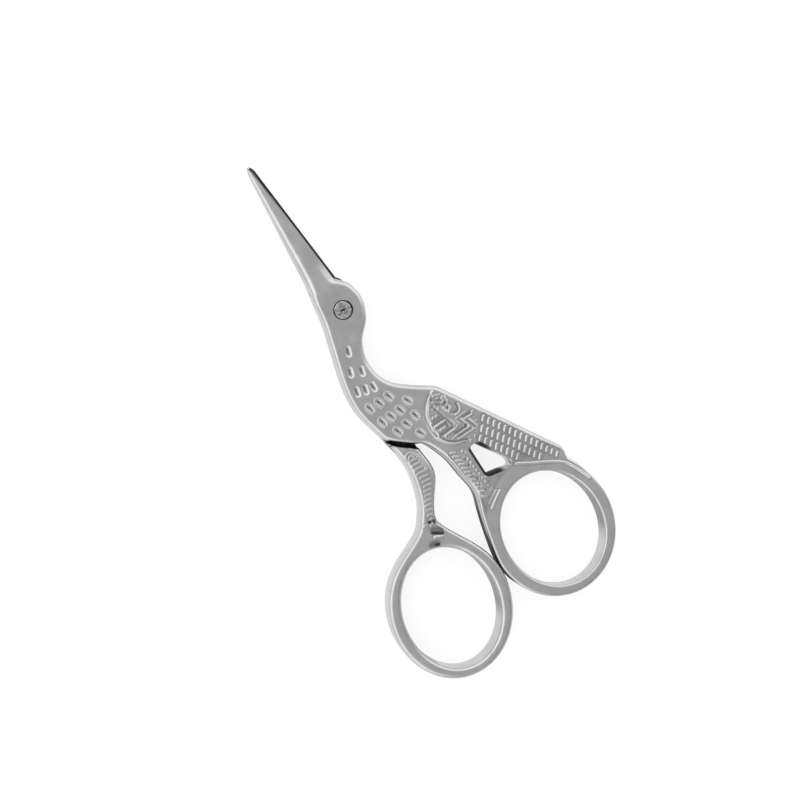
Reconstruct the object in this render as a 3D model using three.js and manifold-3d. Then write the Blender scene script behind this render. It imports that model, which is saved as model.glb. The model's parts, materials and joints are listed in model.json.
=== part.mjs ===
// Stork embroidery scissors, closed and lying flat: two forged halves and one slotted pivot screw.
// Millimetres. +Y runs to the blade tips, +Z up. All places are laid out from the pivot at (0, 0)
// and the finished group is moved to the middle of its own footprint at the end.
import * as THREE from "three";
import { ConvexGeometry } from "three/addons/geometries/ConvexGeometry.js";
import { mergeVertices } from "three/addons/utils/BufferGeometryUtils.js";
import Module from "manifold-3d";

const wasm = await Module();
wasm.setup();

// Thickness of the stack
const halfThickness = 1.9;
const rideGap = 0.1;
const edgeRound = 0.75;

// Blades, measured from the line through the pivot and the tips
const bladeLength = 28.8;
const bladeRoot = 5.0;
const bladeSink = 1.5;
const spineRoot = 3.3;
const edgeRoot = 2.1;
const heelRise = 0.4;
const rearHeelRise = 2.2;
const ridgeShare = 0.55;
const spineBevel = 0.8;
const edgeLand = 1.35;
const tipSpine = 0.55;
const tipEdge = 0.3;
const sliver = 0.45;
const tipThickness = 0.6;
const pointLength = 0.6;

// Head and neck of the bird
const headReach = 4.2;
const neckDrop = 10.0;
const neckWidth = 5.7;
const neckSway = 4.15;
const breastDrop = 15.0;
const breastReach = 7.75;
const bellyDrop = 27.1;

// Back and tail
const shoulderReach = 6.6;
const shoulderDrop = 20.0;
const tailReach = 20.3;
const tailSink = 1.2;
const tailDepth = 2.0;
const windowSill = 1.0;
const windowInset = 3.45;
const windowTop = 1.4;
const windowWidth = 4.85;
const windowHeight = 6.0;
const windowFall = 1.2;
const windowCorner = 0.45;

// Legs
const legWidth = 3.9;
const kneeBelowBelly = 5.3;
const rearKneeReach = 1.95;
const ankleRise = 2.0;
const frontAnkleReach = 2.05;
const rearAnkleReach = 6.5;

// Finger rings
const ringDrop = 54.3;
const frontRingRise = 0.4;
const ringLength = 22.1;
const frontRingWidth = 19.1;
const rearRingWidth = 17.7;
const ringSideWall = 2.45;
const ringEndWall = 1.85;
const frontRingTilt = -6;
const rearRingTilt = 11;
const ringMeet = -1.5;
const stopGap = 0.2;

// Fit between the halves
const shankInset = 0.75;
const shoulderGap = 0.9;
const stepGap = 0.5;

// Pivot screw
const screwHeadDiameter = 3.1;
const screwHeadHeight = 0.9;
const screwHeadChamfer = 0.2;
const screwShank = 2.2;
const boreGap = 0.06;
const counterboreGap = 0.15;
const screwEndInset = 0.15;
const slotWidth = 0.5;
const slotDepth = 0.4;
const slotTurn = -14;

// Fineness of the curved edges
const chord = 1.0;
const roundSides = 40;

// Heights that follow from the stack
const total = 2 * halfThickness + rideGap;
const rearTop = halfThickness;
const frontUnder = halfThickness + rideGap;
const degree = Math.PI / 180;

// Heights along the legs that follow from the rings and the belly
const ringTop = -ringDrop + ringLength / 2 + ringEndWall;
const ankleY = ringTop + ankleRise;
const kneeY = -bellyDrop - kneeBelowBelly;
const tailY = ringTop - tailSink;

const nickel = new THREE.MeshStandardMaterial({ color: 0xb9babc, roughness: 0.22, metalness: 1 });
const screwSteel = new THREE.MeshStandardMaterial({ color: 0xa9abae, roughness: 0.3, metalness: 1 });

const at = (x, y) => new THREE.Vector2(x, y);

// Evenly spaced points of a smooth curve through the given points
function smooth(points) {
  const places = points.map((p) => new THREE.Vector3(p.x, p.y, 0));
  const curve = new THREE.CatmullRomCurve3(places, false, "centripetal");
  const steps = Math.max(2, Math.round(curve.getLength() / chord));
  return curve.getSpacedPoints(steps).map((p) => at(p.x, p.y));
}

// One closed list out of several stretches, each stretch starting where the last one ended
function joined(...stretches) {
  const points = [];
  for (const point of stretches.flat()) {
    const last = points[points.length - 1];
    if (!last || last.distanceTo(point) > 1e-4) points.push(point);
  }
  if (points[0].distanceTo(points[points.length - 1]) < 1e-4) points.pop();
  return points;
}

// A closed list with every corner replaced by a short curve
function rounded(corners, reach) {
  return corners.flatMap((corner, i) => {
    const before = corners[(i + corners.length - 1) % corners.length];
    const after = corners[(i + 1) % corners.length];
    const start = corner.clone().add(before.clone().sub(corner).setLength(reach));
    const end = corner.clone().add(after.clone().sub(corner).setLength(reach));
    return new THREE.QuadraticBezierCurve(start, corner, end).getPoints(3);
  });
}

function toManifold(geometry) {
  const bare = geometry.clone();
  bare.deleteAttribute("normal");
  bare.deleteAttribute("uv");
  const welded = mergeVertices(bare, 1e-5);
  return new wasm.Manifold(
    new wasm.Mesh({
      numProp: 3,
      vertProperties: new Float32Array(welded.attributes.position.array),
      triVerts: new Uint32Array(welded.index.array),
    }),
  );
}

function toMesh(solid, name, material) {
  const mesh = solid.getMesh();
  const geometry = new THREE.BufferGeometry();
  geometry.setAttribute("position", new THREE.BufferAttribute(new Float32Array(mesh.vertProperties), 3));
  geometry.setIndex(new THREE.BufferAttribute(new Uint32Array(mesh.triVerts), 1));
  const node = new THREE.Mesh(geometry.toNonIndexed(), material);
  node.geometry.computeVertexNormals();
  node.name = name;
  return node;
}

// A flat blank with rounded rims on both faces, from the table up to the full stack height
function blank(outline, holes) {
  const shape = new THREE.Shape(outline);
  for (const hole of holes) shape.holes.push(new THREE.Path(hole));
  const geometry = new THREE.ExtrudeGeometry(shape, {
    depth: total - 2 * edgeRound,
    bevelEnabled: true,
    bevelThickness: edgeRound,
    bevelSize: edgeRound,
    bevelOffset: -edgeRound,
    bevelSegments: 2,
    curveSegments: 1,
  });
  geometry.translate(0, 0, edgeRound);
  return toManifold(geometry);
}

// A straight-sided cutter over the given outline
function cutter(outline, bottom, top) {
  const geometry = new THREE.ExtrudeGeometry(new THREE.Shape(outline), {
    depth: top - bottom,
    bevelEnabled: false,
  });
  geometry.translate(0, 0, bottom);
  return toManifold(geometry);
}

// A round cutter on the pivot axis
function bore(radius, bottom, top) {
  const geometry = new THREE.CylinderGeometry(radius, radius, top - bottom, roundSides);
  geometry.rotateX(Math.PI / 2);
  geometry.translate(0, 0, (bottom + top) / 2);
  return toManifold(geometry);
}

// Finger rings: upright ovals whose sides meet at ringMeet with the stop gap between them
function ring(innerWidth, side, tiltDegrees, rise) {
  const tilt = tiltDegrees * degree;
  const outerHalf = innerWidth / 2 + ringSideWall;
  const outerEnd = ringLength / 2 + ringEndWall;
  const reach = Math.hypot(outerHalf * Math.cos(tilt), outerEnd * Math.sin(tilt));
  const centre = at(ringMeet + side * (stopGap / 2 + reach), rise - ringDrop);
  // Point at an angle counted from the +X side, wall 0 on the hole and 1 on the outside
  const point = (angle, wall) => {
    const x = (innerWidth / 2 + wall * ringSideWall) * Math.cos(angle * degree);
    const y = (ringLength / 2 + wall * ringEndWall) * Math.sin(angle * degree);
    return at(
      centre.x + x * Math.cos(tilt) + y * Math.sin(tilt),
      centre.y - x * Math.sin(tilt) + y * Math.cos(tilt),
    );
  };
  const arc = (from, to) => {
    const turns = Math.ceil(Math.abs(to - from) / 15);
    return Array.from({ length: turns + 1 }, (_, i) => point(from + ((to - from) * i) / turns, 1));
  };
  const hole = Array.from({ length: 60 }, (_, i) => point(i * 6, 0));
  return { centre, point, arc, hole };
}

const frontRing = ring(frontRingWidth, 1, frontRingTilt, frontRingRise);
const rearRing = ring(rearRingWidth, -1, rearRingTilt, 0);

// Edges that both halves share or that fit one another
const neckLeft = -neckSway - neckWidth / 2;
const neckRight = -neckSway + neckWidth / 2;
const spineFoot = at(-spineRoot, bladeRoot);
const breastEnd = at(-0.83 * breastReach, -0.834 * bellyDrop);
const throat = [
  breastEnd,
  at(-breastReach, -1.1 * breastDrop),
  at(-0.99 * breastReach, -0.9 * breastDrop),
  at(neckLeft, -neckDrop),
  at(0.78 * neckLeft, -0.48 * neckDrop),
  at(0.58 * neckLeft, 0),
  spineFoot,
];
const belly = [
  at(-0.14 * breastReach, -bellyDrop),
  at(-0.31 * breastReach, -0.974 * bellyDrop),
  at(-0.46 * breastReach, -0.937 * bellyDrop),
  at(-0.66 * breastReach, -0.889 * bellyDrop),
  breastEnd,
];

// Front half, seen from above: the beak blade, head, neck, breast, back, tail, leg and right ring
const heel = at(edgeRoot, bladeRoot + heelRise);
const shoulder = at(shoulderReach, -shoulderDrop);
const tailCorner = at(0.985 * tailReach, tailY + 0.3 * tailDepth);
const tailEnd = at(0.98 * tailReach, tailY - tailDepth);
const ankle = at(frontAnkleReach, ankleY);

const frontOutline = joined(
  smooth([
    heel,
    at(0.57 * headReach, bladeRoot - 0.25),
    at(0.77 * headReach, bladeRoot - 1.0),
    at(0.95 * headReach, 0.4 * bladeRoot),
    at(headReach, 0.1),
    at(0.67 * headReach, -0.34 * neckDrop),
    at(-0.05, -0.63 * neckDrop),
    at(neckRight, -1.03 * neckDrop),
    at(-0.2, -0.72 * shoulderDrop),
    at(0.45 * shoulderReach, -0.87 * shoulderDrop),
    shoulder,
  ]),
  [shoulder, tailCorner],
  smooth([tailCorner, at(tailReach, tailY - 0.35 * tailDepth), tailEnd]),
  smooth([
    tailEnd,
    at(frontRing.point(28, 1).x + 0.55, frontRing.point(28, 1).y),
    ...frontRing.arc(8, -188),
    at(ankle.x - 0.9, ankleY - 1.65 * ankleRise),
    at(ankle.x - 0.2, ankleY - 0.7 * ankleRise),
    ankle,
    at(ankle.x - 0.5, 0.5 * (ankleY + kneeY)),
    at(ankle.x - 1.0, kneeY + 0.4),
    at(-0.05 * breastReach, -bellyDrop - 0.19 * kneeBelowBelly),
    ...belly,
  ]),
  smooth(throat),
);

// Three-cornered window between the leg, the tail and the ring
const windowFoot = at(ankle.x + windowInset, ankleY + windowSill);
const window = rounded(
  [
    windowFoot,
    at(windowFoot.x + windowWidth, windowFoot.y - windowFall),
    at(windowFoot.x + windowWidth, windowFoot.y + 0.05 * windowHeight),
    at(windowFoot.x + windowTop, windowFoot.y + windowHeight),
    at(windowFoot.x, windowFoot.y + windowHeight),
  ],
  windowCorner,
);

// Rear half: blade, head and shank hidden below the front half, then the left leg and ring
const rearEdge = at(sliver - spineRoot, bladeRoot + rearHeelRise);
const rearSpine = at(edgeRoot + sliver, bladeRoot + heelRise);
const shankRight = neckRight - shankInset;
const kneeRight = at(-rearKneeReach, kneeY);
const rearAnkle = at(-rearAnkleReach, ankleY - 0.1 * ankleRise);
const calf = at(kneeRight.x - 1.7, kneeY + 0.37 * (ankleY - kneeY));

const rearOutline = joined(
  [rearEdge, rearSpine],
  smooth([
    rearSpine,
    at(rearSpine.x + 0.25, bladeRoot - 0.05),
    at(0.78 * headReach, bladeRoot - 0.75),
    at(0.84 * headReach, 0.5 * bladeRoot),
    at(0.84 * headReach, 0.4),
    at(0.55 * headReach, -0.36 * neckDrop),
    at(-0.7, -0.68 * neckDrop),
    at(shankRight, -1.1 * neckDrop),
    at(shankRight, -0.7 * bellyDrop),
    at(shankRight, -bellyDrop),
    kneeRight,
    calf,
    at(0.5 * (calf.x + rearAnkle.x) - 0.1, 0.35 * kneeY + 0.65 * ankleY),
    rearAnkle,
    at(rearAnkle.x + 0.6, ankleY - 1.1 * ankleRise),
    ...rearRing.arc(40, -236),
    at(rearAnkle.x - legWidth, ankleY - 0.1 * ankleRise),
    at(rearAnkle.x - 0.6 * legWidth, ankleY + 0.8 * ankleRise),
    at(rearAnkle.x - 0.26 * legWidth, 0.5 * (ankleY + kneeY)),
    at(kneeRight.x - legWidth, kneeY + 0.34 * kneeBelowBelly),
    at(kneeRight.x - 0.97 * legWidth, -bellyDrop - 0.04 * kneeBelowBelly),
    breastEnd,
  ]),
  smooth([...throat.slice(0, -1), rearEdge]),
);

// Below the front half the neck is cut away to make room for the rear half, up to a step in the breast
const far = 2 * bladeLength + ringDrop;
const stepLine = shankRight + stepGap;
const pocketFoot = -bellyDrop - 0.3 * kneeBelowBelly;
const frontPocket = [
  at(far, -0.8 * shoulderDrop),
  at(stepLine + 1.2, -0.9 * shoulderDrop),
  at(stepLine, -0.95 * shoulderDrop),
  at(stepLine, pocketFoot),
  at(-far, pocketFoot),
  at(-far, far),
  at(far, far),
];

// Above the rear half everything is cut away down to a shoulder that follows the belly of the bird
const lowered = smooth(belly).map((p) => at(p.x, p.y - shoulderGap));
const rearPocket = [
  at(far, lowered[0].y),
  ...lowered,
  at(-far, lowered[lowered.length - 1].y),
  at(-far, far),
  at(far, far),
];

// Blade with a flat inner face, a bevelled spine, a ridge near the middle and a ground face falling to the
// cutting edge. The inner face lies at z 0, the spine to the left. Widths are given at the root and the tip.
function blade(spineWide, edgeWide, spineThin, edgeThin) {
  const section = (y, spine, edge, thickness, land, bevel) => [
    new THREE.Vector3(-spine, y, 0),
    new THREE.Vector3(-spine, y, 0.5 * thickness),
    new THREE.Vector3(-spine + bevel, y, 0.96 * thickness),
    new THREE.Vector3(-spine + ridgeShare * (spine + edge), y, thickness),
    new THREE.Vector3(edge, y, land),
    new THREE.Vector3(edge, y, 0),
  ];
  const tipLand = (edgeLand * tipThickness) / halfThickness;
  const tipBevel = (spineBevel * spineThin) / spineWide;
  const root = section(bladeRoot - bladeSink, spineWide, edgeWide, halfThickness, edgeLand, spineBevel);
  const tip = section(bladeLength - pointLength, spineThin, edgeThin, tipThickness, tipLand, tipBevel);
  const middle = (edgeThin - spineThin) / 2;
  const point = [new THREE.Vector3(middle, bladeLength, 0), new THREE.Vector3(middle, bladeLength, tipLand)];
  return toManifold(new ConvexGeometry([...root, ...tip, ...point]));
}

const frontBlade = blade(spineRoot, edgeRoot, tipSpine, tipEdge).translate([0, 0, frontUnder]);
const rearBlade = blade(edgeRoot + sliver, spineRoot - sliver, tipEdge + sliver, tipSpine - sliver)
  .rotate([0, 180, 0])
  .translate([0, 0, rearTop]);

// Screw seat: the front half turns on the shank, the rear half holds it
const headFloor = total - screwHeadHeight;
const headRadius = screwHeadDiameter / 2;
const shankRadius = screwShank / 2;
const shankBore = bore(shankRadius + boreGap, -1, total + 1);
const counterbore = bore(headRadius + counterboreGap, headFloor - boreGap, total + 1);

const frontHalf = blank(frontOutline, [frontRing.hole])
  .subtract(cutter(window, -1, total + 1))
  .subtract(cutter(frontPocket, -1, frontUnder))
  .add(frontBlade)
  .subtract(shankBore)
  .subtract(counterbore);

const rearHalf = blank(rearOutline, [rearRing.hole])
  .subtract(cutter(rearPocket, rearTop, total + 1))
  .add(rearBlade)
  .subtract(shankBore);

const screwProfile = [
  at(0, screwEndInset),
  at(shankRadius, screwEndInset),
  at(shankRadius, headFloor),
  at(headRadius, headFloor),
  at(headRadius, total - screwHeadChamfer),
  at(headRadius - screwHeadChamfer, total),
  at(0, total),
];
const screwBody = new THREE.LatheGeometry(screwProfile, roundSides);
screwBody.rotateX(Math.PI / 2);
const slot = new THREE.BoxGeometry(2 * screwHeadDiameter, slotWidth, 2 * slotDepth);
slot.rotateZ(slotTurn * degree);
slot.translate(0, 0, total);
const screw = toManifold(screwBody).subtract(toManifold(slot));

const scissors = new THREE.Group();
scissors.name = "embroidery_scissors";
scissors.add(toMesh(frontHalf, "front_half", nickel));
scissors.add(toMesh(rearHalf, "rear_half", nickel));
scissors.add(toMesh(screw, "pivot_screw", screwSteel));

// Origin: middle of the footprint, on the table
const box = new THREE.Box3().setFromObject(scissors);
for (const node of scissors.children) {
  node.geometry.translate(-(box.min.x + box.max.x) / 2, -(box.min.y + box.max.y) / 2, -box.min.z);
}

export default scissors;
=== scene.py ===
# %% [markdown]
# # Stork embroidery scissors
# Small plated scissors in the shape of a standing stork: the beak is the pair of blades, the legs are the
# handles. They are two forged halves on one slotted screw. The solids give the outlines and the thickness.
# This lesson turns them into polished forgings with rounded edges and stamped feathers.

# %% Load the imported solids
import json
import math

import bmesh
import bpy
import numpy as np
from mathutils import Matrix, Vector
from mathutils.bvhtree import BVHTree
from mathutils.geometry import delaunay_2d_cdt
from mathutils.kdtree import KDTree


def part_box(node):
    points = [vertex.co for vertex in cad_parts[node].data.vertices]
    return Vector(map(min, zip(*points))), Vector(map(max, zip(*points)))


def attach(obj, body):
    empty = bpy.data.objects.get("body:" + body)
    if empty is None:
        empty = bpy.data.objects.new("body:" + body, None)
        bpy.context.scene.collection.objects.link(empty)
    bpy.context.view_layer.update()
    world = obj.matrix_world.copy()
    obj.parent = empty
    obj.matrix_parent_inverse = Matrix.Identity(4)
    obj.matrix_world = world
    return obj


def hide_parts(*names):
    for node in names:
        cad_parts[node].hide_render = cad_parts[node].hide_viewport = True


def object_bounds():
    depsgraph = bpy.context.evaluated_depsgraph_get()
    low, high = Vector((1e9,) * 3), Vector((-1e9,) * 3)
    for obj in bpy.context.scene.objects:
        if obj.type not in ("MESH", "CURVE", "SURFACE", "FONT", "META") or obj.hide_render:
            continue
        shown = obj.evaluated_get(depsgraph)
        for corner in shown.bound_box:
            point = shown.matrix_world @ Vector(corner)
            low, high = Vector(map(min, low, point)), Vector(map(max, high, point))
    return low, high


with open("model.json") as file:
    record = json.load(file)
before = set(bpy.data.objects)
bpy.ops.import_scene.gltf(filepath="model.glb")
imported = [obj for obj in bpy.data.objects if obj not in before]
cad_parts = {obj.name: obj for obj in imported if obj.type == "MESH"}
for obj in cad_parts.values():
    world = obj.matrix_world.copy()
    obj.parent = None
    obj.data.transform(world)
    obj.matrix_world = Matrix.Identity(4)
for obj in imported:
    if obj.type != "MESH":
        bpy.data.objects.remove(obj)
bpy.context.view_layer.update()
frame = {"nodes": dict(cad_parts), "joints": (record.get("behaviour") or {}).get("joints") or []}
mm = 0.001
pivot = Vector(frame["joints"][0]["pos_m"]) / mm
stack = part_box("front_half")[1].z / mm

# %% [markdown]
# ## Measuring the solids
# Everything below is laid out in millimetres from the pivot, with Y towards the tips. A ray from below
# tells where a solid begins at a place. The rear half is measured upside down, so that on both halves the
# outer face is on top and the face that rides on the other half is below. One set of helpers serves both.

# %% Rays into a solid
ray_start = -50.0
mid_blade = 15.0


def solid_tree(node, turned):
    """Search tree of a solid in mm from the pivot, upside down if turned."""
    mesh = frame["nodes"][node].data
    places = []
    for vertex in mesh.vertices:
        x, y, z = vertex.co / mm
        places.append((x - pivot.x, y - pivot.y, stack - z if turned else z))
    return BVHTree.FromPolygons(places, [p.vertices[:] for p in mesh.polygons])


def underside_at(tree, x, y):
    """Height where a ray from below first meets the solid, or None beside it."""
    hit = tree.ray_cast(Vector((x, y, ray_start)), Vector((0, 0, 1)))[0]
    return None if hit is None else hit.z


trees = {"front_half": solid_tree("front_half", False), "rear_half": solid_tree("rear_half", True)}
ride_level = underside_at(trees["front_half"], 0, mid_blade)
print("riding face at", round(ride_level, 2), "mm")

# %% [markdown]
# ## Outlines
# A level cut through a solid gives its outline as a ring of short straight pieces. Polished metal shows
# every corner of such a ring, so the outline is divided evenly and then relaxed a little. Only a really
# sharp corner, such as the point of the beak, is pinned. The window keeps tighter corners than the rest,
# and the round bore is not relaxed at all.

# %% Cutting a solid
merge_gap = 1e-7
skin = 0.02


def ring_length(ring):
    return np.linalg.norm(np.roll(ring, -1, 0) - ring, axis=1).sum()


def cut_rings(node, level):
    """Closed rings, longest first, where the plane at this level cuts a solid."""
    work = bmesh.new()
    work.from_mesh(frame["nodes"][node].data)
    bmesh.ops.remove_doubles(work, verts=work.verts, dist=merge_gap)
    parts = work.verts[:] + work.edges[:] + work.faces[:]
    cut = bmesh.ops.bisect_plane(work, geom=parts, plane_co=(0, 0, level * mm), plane_no=(0, 0, 1))
    links = {}
    for item in cut["geom_cut"]:
        if isinstance(item, bmesh.types.BMEdge):
            a, b = item.verts
            links.setdefault(a, []).append(b)
            links.setdefault(b, []).append(a)
    rings = []
    seen = set()
    for first in links:
        if first in seen:
            continue
        ring = [first]
        seen.add(first)
        while True:
            step = [v for v in links[ring[-1]] if v not in seen]
            if not step:
                break
            ring.append(step[0])
            seen.add(step[0])
        rings.append(np.array([(v.co.x / mm - pivot.x, v.co.y / mm - pivot.y) for v in ring]))
    work.free()
    return sorted(rings, key=ring_length, reverse=True)


cuts = {
    "front_half": cut_rings("front_half", ride_level + skin),
    "rear_half": cut_rings("rear_half", stack - ride_level - skin),
}
print("rings in each cut", {node: len(rings) for node, rings in cuts.items()})

# %% Relaxing the outlines
border_step = 0.2
least_gap = 0.02
relax_rounds = 10
window_rounds = 2
pinned_turn = math.radians(55)
bore_length = 10.0
window_length = 30.0


def divided(points, step):
    """Points at even distances along an open line, both ends kept."""
    along = np.r_[0, np.cumsum(np.linalg.norm(np.diff(points, axis=0), axis=1))]
    count = max(2, int(round(along[-1] / step)))
    places = np.linspace(0, along[-1], count + 1)
    return np.c_[np.interp(places, along, points[:, 0]), np.interp(places, along, points[:, 1])]


def divided_ring(ring, step=border_step):
    return divided(np.r_[ring, ring[:1]], step)[:-1]


def relaxed(ring):
    """The ring with even steps and soft bends, its sharp corners kept."""
    gaps = np.linalg.norm(np.roll(ring, -1, 0) - ring, axis=1)
    ring = ring[gaps > least_gap]
    if ring_length(ring) < bore_length:
        return divided_ring(ring)
    rounds = window_rounds if ring_length(ring) < window_length else relax_rounds
    before = ring - np.roll(ring, 1, 0)
    after = np.roll(ring, -1, 0) - ring
    turn = np.arctan2(after[:, 1], after[:, 0]) - np.arctan2(before[:, 1], before[:, 0])
    turn = np.abs((turn + math.pi) % (2 * math.pi) - math.pi)
    corners = np.flatnonzero(turn > pinned_turn)
    start = corners[0] if len(corners) else 0
    ring = np.roll(ring, -start, 0)
    stops = [int(c - start) % len(ring) for c in corners] or [0]
    stops = sorted(stops) + [len(ring)]
    closed = np.r_[ring, ring[:1]]
    out = []
    for a, b in zip(stops, stops[1:]):
        line = divided(closed[a:b + 1], border_step)
        for _ in range(rounds):
            line[1:-1] = 0.25 * line[:-2] + 0.5 * line[1:-1] + 0.25 * line[2:]
        out.append(line[:-1])
    ring = np.concatenate(out)
    if not len(corners):
        for _ in range(rounds):
            ring = 0.25 * np.roll(ring, 1, 0) + 0.5 * ring + 0.25 * np.roll(ring, -1, 0)
    return ring


outlines = {node: [relaxed(ring) for ring in rings] for node, rings in cuts.items()}
for node, rings in outlines.items():
    print(node, "rings of", [round(ring_length(r), 1) for r in rings], "mm")

# %% [markdown]
# ## The step inside each half
# Where the halves cross, each is cut down to half the thickness. The cut ends in a step. On the front half
# it is hidden in the breast; on the rear half it is the shoulder just below the belly. The step is read
# from the difference between a cut just above and just below the riding face.

# %% Step lines
step_clear = 0.2


def search_tree(points):
    tree = KDTree(len(points))
    for i, p in enumerate(points):
        tree.insert((p[0], p[1], 0), i)
    tree.balance()
    return tree


def distances(tree, points):
    return np.array([tree.find((p[0], p[1], 0))[2] for p in points])


def step_line(node, level):
    """The part of the outline at this level that runs across the inside of the half."""
    every = np.concatenate(outlines[node])
    border = search_tree(every)
    ring = divided_ring(cut_rings(node, level)[0])
    far = distances(border, ring) > step_clear
    start = int(np.flatnonzero(far & ~np.roll(far, 1))[0])
    ring = np.roll(ring, -start, 0)
    far = np.roll(far, -start)
    line = ring[:int(np.flatnonzero(~far)[0])]
    ends = [every[border.find((p[0], p[1], 0))[1]] for p in (line[0], line[-1])]
    return np.r_[ends[:1], line, ends[1:]]


steps = {
    "front_half": step_line("front_half", ride_level - skin),
    "rear_half": step_line("rear_half", stack - ride_level + skin),
}
for node, line in steps.items():
    print(node, "step from", line[0].round(2), "to", line[-1].round(2), len(line), "points")

# %% [markdown]
# ## Where the ornament goes
# The bird's feathers, wing, tail and legs are struck into the faces by the forging die. Each mark is a
# short straight stroke: its middle, its direction and its length. A curve is a row of strokes. The lists
# are laid out from the bird: pits for the neck feathers, scales with a raised rim on the breast,
# raised lines for the wing, slanted bars on the tail and ribs down the legs.

# %% Strokes
corner_cuts = 3


def stroke(x, y, degrees, length):
    return (x, y, math.radians(degrees), length)


def strokes_at(places, degrees, length):
    return [stroke(x, y, degrees, length) for x, y in places]


def drawn(points):
    """A line through the points as a row of strokes, each covering one piece of it."""
    row = []
    for (ax, ay), (bx, by) in zip(points, points[1:]):
        length = math.hypot(bx - ax, by - ay)
        row.append(((ax + bx) / 2, (ay + by) / 2, math.atan2(by - ay, bx - ax), length))
    return row


def rounded(points):
    """A soft line along the points, its corners cut again and again, in small pieces."""
    line = np.array(points, float)
    for _ in range(corner_cuts):
        near = 0.75 * line[:-1] + 0.25 * line[1:]
        far = 0.25 * line[:-1] + 0.75 * line[1:]
        cut = np.stack([near, far], 1).reshape(-1, 2)
        line = np.r_[line[:1], cut[1:-1], line[-1:]]
    return drawn(line)


print("a bend along three points takes", len(rounded([(0, 0), (1, 0), (1, 1)])), "strokes")

# %% Feathers on neck and breast
neck_rows = [
    (70, [(-3.25, -6.4)]),
    (72, [(-4.95, -9.6), (-3.15, -10.5)]),
    (76, [(-5.85, -13.0), (-4.4, -13.5)]),
    (88, [(-2.95, -13.85)]),
]
breast_rows = [
    (100, [(-5.55, -16.7), (-5.05, -19.9), (0.5, -22.2)]),
    (108, [(-3.65, -16.8), (-1.6, -16.8), (-3.2, -19.9), (-1.25, -19.95), (-3.65, -22.8)]),
    (116, [(-1.6, -22.6), (-0.4, -25.3), (0.8, -19.3)]),
]
rim_foot = [(-0.9, 0.36), (-0.5, 0.52)]
rim_reach = 0.95
rim_half = 0.58
rim_points = 9


def feather_marks(rows, shift_x, shift_y, length):
    """One stroke on each feather, in the direction of its row."""
    return [stroke(x + shift_x, y + shift_y, lean, length) for lean, row in rows for x, y in row]


def scale_rim(x, y, degrees):
    """A horseshoe round the top of a feather, open towards the tail."""
    cos = math.cos(math.radians(degrees))
    sin = math.sin(math.radians(degrees))
    arch = [(rim_reach * math.sin(b), rim_half * math.cos(b)) for b in np.linspace(0, math.pi, rim_points)]
    line = rim_foot + arch + [(s, -t) for s, t in reversed(rim_foot)]
    return drawn([(x + s * cos - t * sin, y + s * sin + t * cos) for s, t in line])


neck_pits = feather_marks(neck_rows, 0, 0, 1.0)
# Strokes for the painted shade at one side of each neck pit.
neck_pit_shade = feather_marks(neck_rows, -0.15, 0.15, 0.6)
scale_pits = feather_marks(breast_rows, 0, 0, 0.8)
# Strokes for the painted shade at one side of each breast feather.
scale_pit_shade = feather_marks(breast_rows, -0.05, 0.25, 0.2)
scale_rims = []
for lean, row in breast_rows:
    for x, y in row:
        scale_rims += scale_rim(x, y, lean)
feathers = neck_pits + scale_pits + scale_rims
print(len(neck_pits), "neck pits", len(scale_pits), "breast feathers")

# %% Wing
wing_edge = rounded([
    (5.2, -20.5), (4.3, -21.1), (3.3, -22.0), (2.5, -23.1), (2.1, -24.0), (1.95, -25.2), (1.85, -26.3),
])
wing_hem = rounded([(1.45, -27.9), (1.9, -28.8), (2.6, -29.6), (3.5, -30.3), (4.4, -30.75), (5.4, -31.05)])
wing_ripple = rounded([(4.5, -20.45), (3.2, -21.2), (2.2, -22.3), (1.4, -23.7)])
wing_moat = rounded([
    (4.5, -20.8), (3.2, -21.55), (2.35, -22.6), (1.7, -24.2), (1.5, -25.6), (1.6, -27.4),
])
wing_lines = rounded([(4.75, -25.1), (5.2, -26.2), (5.65, -27.5)])
wing_lines += rounded([(6.6, -26.25), (7.4, -26.3), (8.0, -25.8), (8.1, -24.9)])
for line in (
    ((2.1, -25.95), (4.4, -26.0)), ((2.5, -26.9), (3.8, -26.9)), ((2.3, -28.3), (5.4, -28.25)),
    ((3.8, -29.4), (7.4, -29.45)), ((6.2, -27.2), (6.9, -28.7)), ((7.1, -27.4), (7.75, -29.2)),
    ((6.2, -26.85), (8.3, -26.75)), ((7.6, -27.8), (9.3, -27.85)), ((5.25, -23.9), (6.0, -25.2)),
    ((8.3, -28.3), (9.0, -29.9)), ((4.6, -30.1), (8.0, -30.2)), ((6.75, -22.3), (6.7, -23.2)),
    ((5.0, -21.2), (6.1, -21.6)), ((3.5, -23.2), (4.2, -23.0)),
):
    wing_lines += drawn(line)
wing_grooves = rounded([
    (2.15, -28.0), (2.5, -28.8), (3.1, -29.5), (3.9, -30.1), (4.9, -30.6), (6.0, -31.0),
])
wing_grooves += rounded([(3.8, -22.8), (4.05, -23.8), (4.45, -25.0), (4.85, -26.0), (5.15, -27.3)])
wing_grooves += rounded([(6.2, -25.4), (6.9, -25.9), (7.6, -25.55), (7.7, -24.7)])
for line in (
    ((2.1, -25.4), (4.3, -25.5)), ((4.3, -26.3), (4.2, -27.4)), ((2.3, -27.65), (4.9, -27.75)),
    ((4.7, -28.95), (6.9, -29.0)), ((6.6, -27.4), (7.15, -28.8)), ((7.4, -27.25), (9.0, -27.4)),
    ((7.8, -28.2), (8.5, -29.9)), ((4.9, -29.7), (7.6, -29.8)), ((4.3, -21.6), (5.8, -22.6)),
    ((4.6, -22.7), (5.9, -23.6)), ((2.4, -24.9), (3.9, -24.95)), ((2.4, -26.4), (4.0, -26.45)),
):
    wing_grooves += drawn(line)
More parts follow.
